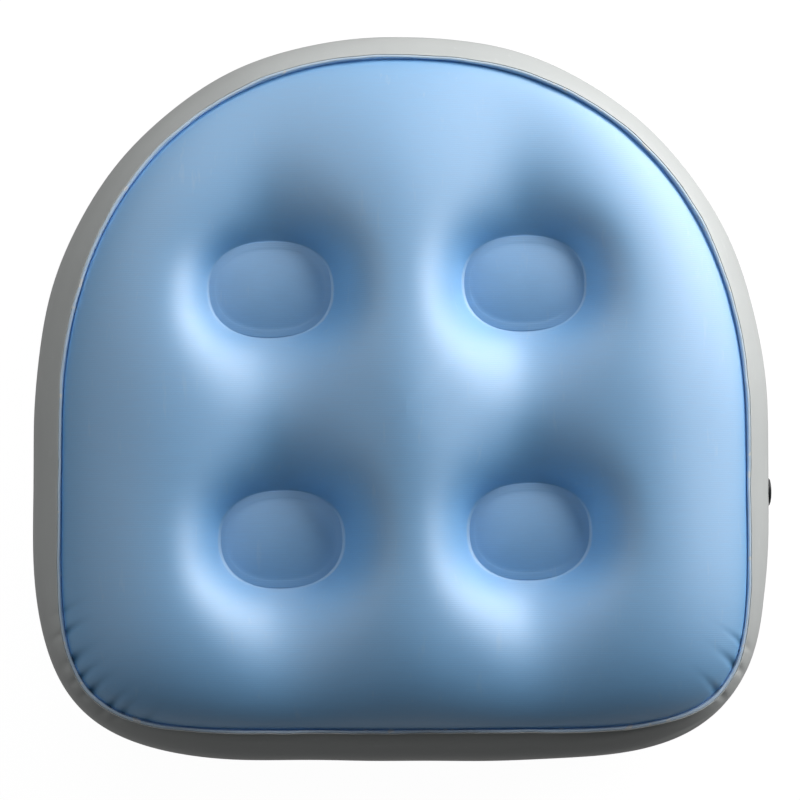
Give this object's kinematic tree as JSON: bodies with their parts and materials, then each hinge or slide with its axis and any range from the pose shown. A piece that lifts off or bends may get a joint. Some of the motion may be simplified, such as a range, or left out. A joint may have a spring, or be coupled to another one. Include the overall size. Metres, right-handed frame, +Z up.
{
  "type": "inflatable spa cushion",
  "caption": "D-shaped inflatable hot-tub cushion with a tufted fabric top, a vinyl side band, an inflation valve and suction feet.",
  "frame": {"origin": "on the ground under the middle of the cushion's plan, at the rims of the suction feet", "axes": "+Z up through the tufted top, +Y towards the arched back edge, +X to the right, where the valve is"},
  "size_m": [0.4034, 0.3966, 0.1051],
  "materials": {
    "blue_fabric": "fine satin weave bonded to vinyl",
    "grey_vinyl": "soft satin-gloss vinyl sheet",
    "inner_vinyl": "plain vinyl sheet",
    "clear_vinyl": "clear soft moulded vinyl",
    "valve_vinyl": "dark moulded vinyl"
  },
  "bodies": {
    "cushion": {"top_panel": "blue_fabric", "side_band": "grey_vinyl", "bottom_panel": "grey_vinyl", "valve_collar": "valve_vinyl", "tuft_patch_back_right": "blue_fabric", "tuft_patch_back_left": "blue_fabric", "tuft_patch_front_left": "blue_fabric", "tuft_patch_front_right": "blue_fabric", "tie_tube_back_right": "inner_vinyl", "tie_tube_back_left": "inner_vinyl", "tie_tube_front_left": "inner_vinyl", "tie_tube_front_right": "inner_vinyl", "cup_socket_back_right": "clear_vinyl", "cup_socket_back_left": "clear_vinyl", "cup_socket_front_left": "clear_vinyl", "cup_socket_front_right": "clear_vinyl"},
    "valve_stem": {"valve_stem": "valve_vinyl"},
    "valve_plug": {"valve_plug": "valve_vinyl", "valve_tether": "valve_vinyl"},
    "valve_flap": {"valve_flap": "valve_vinyl"},
    "suction_cup_back_right": {"suction_cup_back_right": "clear_vinyl"},
    "suction_cup_back_left": {"suction_cup_back_left": "clear_vinyl"},
    "suction_cup_front_left": {"suction_cup_front_left": "clear_vinyl"},
    "suction_cup_front_right": {"suction_cup_front_right": "clear_vinyl"}
  },
  "joints": [
    {"name": "stem_slide", "type": "slide", "parent": "cushion", "child": "valve_stem", "axis": [1, 0, 0], "range_m": [0, 0.011]},
    {"name": "plug_slide", "type": "slide", "parent": "valve_stem", "child": "valve_plug", "axis": [1, 0, 0], "range_m": [0, 0.016], "deforming": ["valve_tether"]},
    {"name": "flap_hinge", "type": "hinge", "parent": "valve_stem", "child": "valve_flap", "pos_m": [0.17957, -0.052, 0.05385], "axis": [0, 1, 0], "range_deg": [0, 60], "stiffness_Nm_per_rad": 0.00002},
    {"name": "cup_swivel_back_right", "type": "hinge", "parent": "cushion", "child": "suction_cup_back_right", "pos_m": [0.112, 0.1, 0], "axis": [0, 0, 1], "continuous": true},
    {"name": "cup_swivel_back_left", "type": "hinge", "parent": "cushion", "child": "suction_cup_back_left", "pos_m": [-0.112, 0.1, 0], "axis": [0, 0, 1], "continuous": true},
    {"name": "cup_swivel_front_left", "type": "hinge", "parent": "cushion", "child": "suction_cup_front_left", "pos_m": [-0.125, -0.125, 0], "axis": [0, 0, 1], "continuous": true},
    {"name": "cup_swivel_front_right", "type": "hinge", "parent": "cushion", "child": "suction_cup_front_right", "pos_m": [0.125, -0.125, 0], "axis": [0, 0, 1], "continuous": true}
  ]
}
